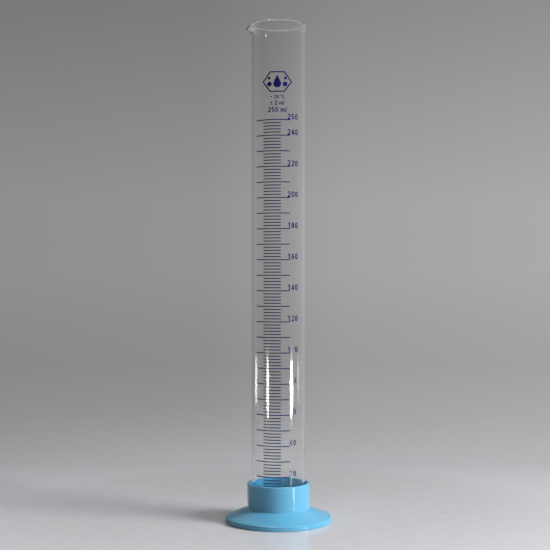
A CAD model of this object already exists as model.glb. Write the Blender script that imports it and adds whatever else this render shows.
"""Looks for the glass measuring cylinder: its blown glass, enamel print, moulded foot and soft pad.

Everything is in metres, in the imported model's own frame: Z up, the foot's underside at Z = 0, the
scale towards -Y and the spout towards -X.
"""
import math

import bmesh
import bpy
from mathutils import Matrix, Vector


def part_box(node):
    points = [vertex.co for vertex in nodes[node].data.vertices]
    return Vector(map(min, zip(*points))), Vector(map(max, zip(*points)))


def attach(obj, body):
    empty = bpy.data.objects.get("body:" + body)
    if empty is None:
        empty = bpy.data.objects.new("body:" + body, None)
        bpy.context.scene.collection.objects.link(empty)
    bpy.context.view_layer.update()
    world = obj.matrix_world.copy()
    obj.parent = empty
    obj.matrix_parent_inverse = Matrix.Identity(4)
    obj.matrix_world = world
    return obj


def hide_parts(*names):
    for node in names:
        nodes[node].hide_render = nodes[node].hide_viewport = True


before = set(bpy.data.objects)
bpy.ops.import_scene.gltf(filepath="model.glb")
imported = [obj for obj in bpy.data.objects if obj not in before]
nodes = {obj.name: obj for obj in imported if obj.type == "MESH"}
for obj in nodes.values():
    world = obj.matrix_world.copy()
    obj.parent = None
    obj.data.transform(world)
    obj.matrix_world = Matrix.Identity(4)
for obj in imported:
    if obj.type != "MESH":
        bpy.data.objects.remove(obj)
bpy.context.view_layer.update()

MM = 0.001

PRINT_NODES = ("long_lines", "short_lines", "numerals", "header")

# The glass, and the foot's socket, as the CAD part has them.
GLASS_LOW, GLASS_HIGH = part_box("glass_tube")
TUBE_R = 19 * MM
WALL = 1.75 * MM
BORE_R = TUBE_R - WALL
BOTTOM = 3 * MM
INNER_CORNER = 5 * MM
OUTER_CORNER = 6.5 * MM
OUTER_RIM_R = GLASS_HIGH.x
FLARE = OUTER_RIM_R - TUBE_R
FLARE_H = 8 * MM
RIM_ROUND = WALL / 2
RIM_TOP = GLASS_HIGH.z
BASE = GLASS_LOW.z
SPOUT_REACH = -GLASS_LOW.x - OUTER_RIM_R
SOCKET_R = 19.9 * MM

# ---- Materials ----


def new_material(name):
    """A material with its tree's nodes, its links, its shader and its output."""
    material = bpy.data.materials.new(name)
    material.use_nodes = True
    tree = material.node_tree
    shader = tree.nodes["Principled BSDF"]
    return material, tree, shader, tree.nodes["Material Output"]


def add(tree, kind, **inputs):
    """A node of that kind, with its sockets set by name where _ stands for a space."""
    node = tree.nodes.new(kind)
    for key, value in inputs.items():
        node.inputs[key.replace("_", " ")].default_value = value
    return node


def object_point(tree, stretch=(1, 1, 1)):
    """The point on the piece, in its own frame, stretched."""
    place = tree.nodes.new("ShaderNodeTexCoord")
    mapping = tree.nodes.new("ShaderNodeMapping")
    mapping.inputs["Scale"].default_value = stretch
    tree.links.new(place.outputs["Object"], mapping.inputs["Vector"])
    return mapping.outputs["Vector"]


def noise(tree, point, scale, detail=3.0, roughness=0.5):
    """Noise from 0 to 1 at that point, with about scale lumps per metre."""
    node = add(tree, "ShaderNodeTexNoise", Scale=scale, Detail=detail, Roughness=roughness)
    tree.links.new(point, node.inputs["Vector"])
    return node.outputs["Fac"]


def length(tree, vector):
    """How long a vector is."""
    node = tree.nodes.new("ShaderNodeVectorMath")
    node.operation = "LENGTH"
    tree.links.new(vector, node.inputs[0])
    return node.outputs["Value"]


def ramp(tree, factor, stops, interpolation="LINEAR"):
    """A colour ramp: stops are (position, value or colour). Stops closer than 1/256 blur together."""
    node = tree.nodes.new("ShaderNodeValToRGB")
    node.color_ramp.interpolation = interpolation
    elements = node.color_ramp.elements
    while len(elements) < len(stops):
        elements.new(0.5)
    for element, (position, colour) in zip(elements, stops):
        element.position = position
        grey = isinstance(colour, (int, float))
        element.color = (colour, colour, colour, 1) if grey else (*colour, 1)
    tree.links.new(factor, node.inputs["Fac"])
    return node.outputs["Color"]


def times(tree, a, b):
    """The product of two colours."""
    node = tree.nodes.new("ShaderNodeMix")
    node.data_type = "RGBA"
    node.blend_type = "MULTIPLY"
    node.inputs["Factor"].default_value = 1
    tree.links.new(a, node.inputs["A"])
    tree.links.new(b, node.inputs["B"])
    return node.outputs["Result"]


def bump(tree, shader, height, strength, distance):
    """Fine relief on a shader, where a height of 1 stands that distance above 0."""
    node = add(tree, "ShaderNodeBump", Strength=strength, Distance=distance)
    tree.links.new(height, node.inputs["Height"])
    tree.links.new(node.outputs["Normal"], shader.inputs["Normal"])


def glass_material():
    """Clear borosilicate glass: a trace of grey-green, faint drawing lines, and it lets lamps through."""
    material, tree, shader, output = new_material("glass")
    shader.inputs["Base Color"].default_value = (0.972, 0.979, 0.974, 1)
    shader.inputs["Roughness"].default_value = 0.0
    shader.inputs["IOR"].default_value = 1.473
    shader.inputs["Transmission Weight"].default_value = 1.0
    lines = noise(tree, object_point(tree, (1, 1, 0.06)), scale=420, detail=2.0)
    bump(tree, shader, lines, strength=0.01, distance=0.002 * MM)
    path = tree.nodes.new("ShaderNodeLightPath")
    clear = add(tree, "ShaderNodeBsdfTransparent", Color=(0.82, 0.84, 0.84, 1))
    mix = tree.nodes.new("ShaderNodeMixShader")
    tree.links.new(path.outputs["Is Shadow Ray"], mix.inputs[0])
    tree.links.new(shader.outputs[0], mix.inputs[1])
    tree.links.new(clear.outputs[0], mix.inputs[2])
    tree.links.new(mix.outputs[0], output.inputs["Surface"])
    return material


def enamel_material():
    """Fired screen-printed enamel: dark blue, thinner and bluer in specks, slightly glossy."""
    material, tree, shader, _ = new_material("enamel")
    point = object_point(tree)
    cover = ramp(tree, noise(tree, point, scale=1400, detail=4.0, roughness=0.6), [
        (0.30, (0.005, 0.004, 0.055)),
        (0.55, (0.008, 0.007, 0.095)),
        (0.80, (0.022, 0.019, 0.180)),
    ])
    tree.links.new(cover, shader.inputs["Base Color"])
    gloss = ramp(tree, noise(tree, point, scale=700), [(0.3, 0.10), (0.7, 0.20)])
    tree.links.new(gloss, shader.inputs["Roughness"])
    grain = noise(tree, point, scale=2600, detail=2.0)
    bump(tree, shader, grain, strength=0.25, distance=0.02 * MM)
    return material


def foot_material():
    """Sky blue moulded plastic: glossy, softly let through by light, with faint flow marks and wear,
    and deeper in colour inside the socket."""
    material, tree, shader, _ = new_material("foot_plastic")
    point = object_point(tree)
    flow = noise(tree, object_point(tree, (1, 1, 0.35)), scale=38, detail=4.0, roughness=0.55)
    colour = ramp(tree, flow, [
        (0.25, (0.086, 0.300, 0.465)),
        (0.55, (0.099, 0.328, 0.500)),
        (0.80, (0.112, 0.352, 0.530)),
    ])
    # The radius is scaled so that the socket's wall is at 0.5, where a ramp is fine enough.
    to_half = 0.5 / SOCKET_R
    radius = length(tree, object_point(tree, (to_half, to_half, 0)))
    deeper = ramp(tree, radius, [(0.505, (0.22, 0.60, 0.74)), (0.515, (1, 1, 1))])
    tree.links.new(times(tree, colour, deeper), shader.inputs["Base Color"])
    scuffs = noise(tree, point, scale=260, detail=6.0, roughness=0.7)
    gloss = ramp(tree, scuffs, [(0.35, 0.09), (0.62, 0.13), (0.78, 0.24)])
    tree.links.new(gloss, shader.inputs["Roughness"])
    shader.inputs["IOR"].default_value = 1.5
    shader.inputs["Subsurface Weight"].default_value = 0.05
    shader.inputs["Subsurface Radius"].default_value = (0.4, 0.8, 1.0)
    shader.inputs["Subsurface Scale"].default_value = 1.5 * MM
    bump(tree, shader, noise(tree, point, scale=900), strength=0.10, distance=0.03 * MM)
    return material


def pad_material():
    """Pale closed-cell foam: matt, with fine pores."""
    material, tree, shader, _ = new_material("pad_rubber")
    point = object_point(tree)
    shade = ramp(tree, noise(tree, point, scale=320, detail=5.0, roughness=0.6), [
        (0.3, (0.55, 0.54, 0.50)),
        (0.7, (0.68, 0.67, 0.62)),
    ])
    tree.links.new(shade, shader.inputs["Base Color"])
    shader.inputs["Roughness"].default_value = 0.85
    pores = noise(tree, point, scale=1500, detail=4.0, roughness=0.7)
    bump(tree, shader, pores, strength=0.5, distance=0.1 * MM)
    return material


def dress(node, material):
    """Gives a CAD node that material."""
    mesh = nodes[node].data
    mesh.materials.clear()
    mesh.materials.append(material)


# ---- Blown glass ----

SEGMENTS = 288
RIM_STEPS = 16
CORNER_STEPS = 12
FLARE_STEP = 0.4 * MM
WALL_STEP = 5 * MM

SPOUT_SPREAD = math.radians(44)
SPOUT_TIP = math.radians(3)
SPOUT_DROP = 3 * MM
SPOUT_DEPTH = 6.6 * MM
SPOUT_THINNING = 0.3
SPOUT_POINTEDNESS = 0.35
SPOUT_FADE = 1.4


def smooth(x):
    """Eases from 0 at 0 to 1 at 1, and stays there beyond."""
    x = min(1.0, max(0.0, x))
    return x * x * (3 - 2 * x)


def arc(centre_r, centre_z, radius, start, end, steps):
    """Points (r, z) on an arc between two angles in degrees, ends included."""
    turns = [math.radians(start + (end - start) * i / steps) for i in range(steps + 1)]
    return [(centre_r + radius * math.cos(t), centre_z + radius * math.sin(t)) for t in turns]


def spaced(start, end, step):
    """Heights after start and before end, evenly spaced by about step."""
    count = max(1, round(abs(end - start) / step))
    return [start + (end - start) * i / count for i in range(1, count)]


def glass_profile():
    """The glass's half section, from the middle of its underside round to the middle of its bore."""
    rim = arc(OUTER_RIM_R - RIM_ROUND, RIM_TOP - RIM_ROUND, RIM_ROUND, 0, 180, RIM_STEPS)
    outer = arc(TUBE_R - OUTER_CORNER, BASE + OUTER_CORNER, OUTER_CORNER, -90, 0, CORNER_STEPS)
    inner_z = BASE + BOTTOM + INNER_CORNER
    inner = arc(BORE_R - INNER_CORNER, inner_z, INNER_CORNER, 0, -90, CORNER_STEPS)
    flare_low = RIM_TOP - FLARE_H
    flare = spaced(flare_low, rim[0][1], FLARE_STEP)

    def flared(z):
        """How far the flare has gone outwards at that height."""
        return FLARE * smooth((z - flare_low) / (rim[0][1] - flare_low))

    rise = [(TUBE_R, z) for z in spaced(outer[-1][1], flare_low, WALL_STEP) + [flare_low]]
    rise += [(TUBE_R + flared(z), z) for z in flare]
    fall = [(BORE_R + flared(z), z) for z in reversed(flare)]
    fall += [(BORE_R, z) for z in [flare_low] + spaced(flare_low, inner[0][1], WALL_STEP)]
    return [(0, BASE)] + outer + rise + rim + fall + inner + [(0, BASE + BOTTOM)]


def spout_share(turn):
    """How far out the spout stands at that angle from its tip, from 1 at the tip to 0 beside it."""
    sharp = 1 - (math.hypot(turn, SPOUT_TIP) - SPOUT_TIP) / (SPOUT_SPREAD - SPOUT_TIP)
    return smooth(sharp) * (1 - SPOUT_POINTEDNESS + SPOUT_POINTEDNESS * max(0.0, sharp))


def blown(angle, r, z):
    """A point of the glass, with the spout drawn out of the rim."""
    turn = math.remainder(angle - math.pi, math.tau)
    share = spout_share(turn)
    if not share or z < RIM_TOP - SPOUT_DEPTH:
        return r, z
    depth = (RIM_TOP - z) / SPOUT_DEPTH
    share *= (1 - depth) ** SPOUT_FADE if depth > 0 else 1
    # The wall thins about its own middle as it is drawn out.
    middle = r - WALL / 2 if r > BORE_R + WALL / 2 else r + WALL / 2
    r = middle + (r - middle) * (1 - SPOUT_THINNING * share)
    return r + SPOUT_REACH * share, z - SPOUT_DROP * share


def lathe(name, profile, segments, shape):
    """A closed mesh turned from a half section whose two ends lie on the axis."""
    mesh = bpy.data.meshes.new(name)
    bm = bmesh.new()
    rings = []
    for r, z in profile:
        if r == 0:
            rings.append([bm.verts.new((0, 0, z))] * segments)
            continue
        ring = []
        for i in range(segments):
            angle = math.tau * i / segments
            ring_r, ring_z = shape(angle, r, z)
            ring.append(bm.verts.new((ring_r * math.cos(angle), ring_r * math.sin(angle), ring_z)))
        rings.append(ring)
    for low, high in zip(rings, rings[1:]):
        for i in range(segments):
            j = (i + 1) % segments
            corners = [low[i], low[j], high[j], high[i]]
            bm.faces.new(list(dict.fromkeys(corners)))
    for face in bm.faces:
        face.smooth = True
    bmesh.ops.recalc_face_normals(bm, faces=bm.faces)
    bm.to_mesh(mesh)
    bm.free()
    piece = bpy.data.objects.new(name, mesh)
    bpy.context.scene.collection.objects.link(piece)
    return piece


def make_glass():
    """The tube, in place of the CAD one. Returns its object."""
    glass = lathe("blown_tube", glass_profile(), SEGMENTS, blown)
    glass.data.materials.append(glass_material())
    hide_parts("glass_tube")
    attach(glass, "tube")
    return glass


# ---- Stage ----

CAMERA_X = -2.5 * MM
CAMERA_DISTANCE = 0.809
CAMERA_HEIGHT = 0.1747
CAMERA_LENS = 75.3
CAMERA_SHIFT = -0.0055

FLOOR_R = 1.4
# The floor darkens with depth between these two.
FLOOR_NEAR = -0.08
FLOOR_FAR = 0.24

LOW_LAMPS_Z = 51 * MM


def make_camera():
    """A level camera in front of the scale, slightly to the left of the tube."""
    data = bpy.data.cameras.new("camera")
    data.lens = CAMERA_LENS
    data.shift_y = CAMERA_SHIFT
    camera = bpy.data.objects.new("camera", data)
    camera.location = (CAMERA_X, -CAMERA_DISTANCE, CAMERA_HEIGHT)
    camera.rotation_euler = (math.pi / 2, 0, 0)
    bpy.context.scene.collection.objects.link(camera)
    bpy.context.scene.camera = camera


def make_world():
    """A plain grey studio: palest on the lamps' side (+X) and behind the object, dimmest on the
    camera's side."""
    world = bpy.data.worlds.new("studio")
    bpy.context.scene.world = world
    world.use_nodes = True
    tree = world.node_tree
    place = tree.nodes.new("ShaderNodeTexCoord")
    split = tree.nodes.new("ShaderNodeSeparateXYZ")
    tree.links.new(place.outputs["Generated"], split.inputs[0])

    def shade(axis, reach, stops):
        """Brightness by one part of the direction, over stops from -reach to reach."""
        node = add(tree, "ShaderNodeMapRange")
        node.inputs["From Min"].default_value = -reach
        node.inputs["From Max"].default_value = reach
        tree.links.new(split.outputs[axis], node.inputs["Value"])
        return ramp(tree, node.outputs["Result"], stops)

    height = shade("Z", 0.5, [
        (0.00, 0.40), (0.30, 0.375), (0.37, 0.335), (0.42, 0.292), (0.455, 0.302),
        (0.50, 0.325), (0.56, 0.325), (0.72, 0.225), (0.88, 0.20), (1.00, 0.38),
    ])
    side = shade("X", 1, [
        (0.00, 0.78), (0.25, 0.80), (0.38, 0.84), (0.47, 0.90), (0.53, 1.12), (0.65, 1.28), (1.00, 1.4),
    ])
    front = shade("Y", 1, [(0.0, 0.31), (0.35, 0.35), (0.65, 0.80), (0.8, 1.0)])
    light = times(tree, times(tree, height, side), front)
    tree.links.new(light, tree.nodes["Background"].inputs["Color"])


def make_floor():
    """A pale, slightly glossy table top that fades into the plain background behind it."""
    mesh = bpy.data.meshes.new("floor")
    bm = bmesh.new()
    bmesh.ops.create_circle(bm, cap_ends=True, segments=128, radius=FLOOR_R)
    bm.to_mesh(mesh)
    bm.free()
    floor = bpy.data.objects.new("floor", mesh)
    bpy.context.scene.collection.objects.link(floor)
    material, tree, shader, output = new_material("table")
    point = object_point(tree)
    distance = length(tree, point)
    grain = noise(tree, point, scale=90, detail=4.0)
    shade = ramp(tree, grain, [(0.3, (0.60, 0.60, 0.625)), (0.7, (0.63, 0.63, 0.655))])
    split = tree.nodes.new("ShaderNodeSeparateXYZ")
    tree.links.new(point, split.inputs[0])
    depth = add(tree, "ShaderNodeMapRange")
    depth.inputs["From Min"].default_value = FLOOR_NEAR
    depth.inputs["From Max"].default_value = FLOOR_FAR
    tree.links.new(split.outputs["Y"], depth.inputs["Value"])
    falloff = ramp(tree, depth.outputs["Result"], [
        (0.0, 0.85), (0.2, 0.79), (0.3, 0.76), (0.6, 0.70), (1.0, 0.61),
    ])
    tree.links.new(times(tree, shade, falloff), shader.inputs["Base Color"])
    # Only the floor near the object is glossy, so that no lamp shows in the rest of it.
    sheen = ramp(tree, distance, [(0.06, 0.2), (0.23, 0.0)], interpolation="EASE")
    tree.links.new(sheen, shader.inputs["Specular IOR Level"])
    shader.inputs["Roughness"].default_value = 0.12
    shader.inputs["IOR"].default_value = 1.33
    fade = ramp(tree, distance, [(0.30, 0.0), (0.75, 1.0)])
    clear = tree.nodes.new("ShaderNodeBsdfTransparent")
    mix = tree.nodes.new("ShaderNodeMixShader")
    tree.links.new(fade, mix.inputs[0])
    tree.links.new(shader.outputs[0], mix.inputs[1])
    tree.links.new(clear.outputs[0], mix.inputs[2])
    tree.links.new(mix.outputs[0], output.inputs["Surface"])
    floor.data.materials.append(material)


def area_light(name, turn, rise, distance, size, radiance, middle=0):
    """A soft light aimed at the axis at the height middle, turned that many degrees towards +X from
    the camera's side and raised that many degrees. It is elliptical if it isn't raised. Returns its
    object."""
    data = bpy.data.lights.new(name, "AREA")
    data.shape = "ELLIPSE" if rise == 0 else "RECTANGLE"
    data.size, data.size_y = size
    data.energy = radiance * math.pi * size[0] * size[1]
    lamp = bpy.data.objects.new(name, data)
    angle = math.radians(turn)
    up = math.radians(rise)
    along = distance * math.cos(up)
    lamp.location = (along * math.sin(angle), -along * math.cos(angle), middle + distance * math.sin(up))
    lamp.rotation_euler = (math.pi / 2 - up, 0, angle)
    lamp.visible_camera = False
    bpy.context.scene.collection.objects.link(lamp)
    return lamp


def glint_light(name, through_glass=True, **placing):
    """An area light that only shows as a reflection, and through the glass too unless told not to.
    Returns its object."""
    lamp = area_light(name, **placing)
    lamp.visible_diffuse = False
    lamp.visible_transmission = through_glass
    return lamp


def soft_light(name, **placing):
    """An area light that only gives light and does not show as a reflection."""
    lamp = area_light(name, **placing)
    lamp.visible_glossy = False
    lamp.visible_transmission = False


def keep_to(lamp, pieces):
    """Lets a lamp show on these pieces only."""
    lit = bpy.data.collections.new(lamp.name + "_pieces")
    for piece in pieces:
        lit.objects.link(piece)
    lamp.light_linking.receiver_collection = lit


def make_lamps():
    """The low lamps that put bright strips on the glass, the soft light of the room, and the ceiling's
    glints on the rim. Returns the low lamp on the left, which is to be kept to the glass and its print."""
    glint_light(
        "window", turn=56.5, rise=0, distance=0.44,
        size=(0.088, 0.062), radiance=90, middle=LOW_LAMPS_Z)
    glint_light(
        "window_glow", turn=56.5, rise=0, distance=0.46,
        size=(0.090, 0.092), radiance=2, middle=LOW_LAMPS_Z)
    window_left = glint_light(
        "window_left", turn=-45, rise=0, distance=0.44,
        size=(0.075, 0.062), radiance=24, middle=LOW_LAMPS_Z, through_glass=False)
    glint_light(
        "window_behind", turn=-113, rise=0, distance=0.50,
        size=(0.044, 0.056), radiance=9, middle=LOW_LAMPS_Z + 2 * MM)
    soft_light("key", turn=68, rise=27, distance=2.4, size=(0.90, 0.90), radiance=41)
    glint_light(
        "key_glint", turn=64, rise=30, distance=2.4,
        size=(0.15, 0.15), radiance=60, through_glass=False)
    soft_light("overhead", turn=20, rise=72, distance=1.6, size=(0.8, 0.8), radiance=2.6)
    for number, turn in enumerate((-60, -24, 55)):
        glint_light(
            f"ceiling_{number}", turn=turn, rise=66, distance=2.0,
            size=(0.34, 0.34), radiance=40, through_glass=False)
    return window_left


make_camera()
make_world()
make_floor()
window_left = make_lamps()
bpy.context.scene.view_settings.view_transform = "Standard"

enamel = enamel_material()
for print_node in PRINT_NODES:
    dress(print_node, enamel)
dress("foot", foot_material())
dress("seat_pad", pad_material())
glass = make_glass()
keep_to(window_left, [glass] + [nodes[name] for name in PRINT_NODES])
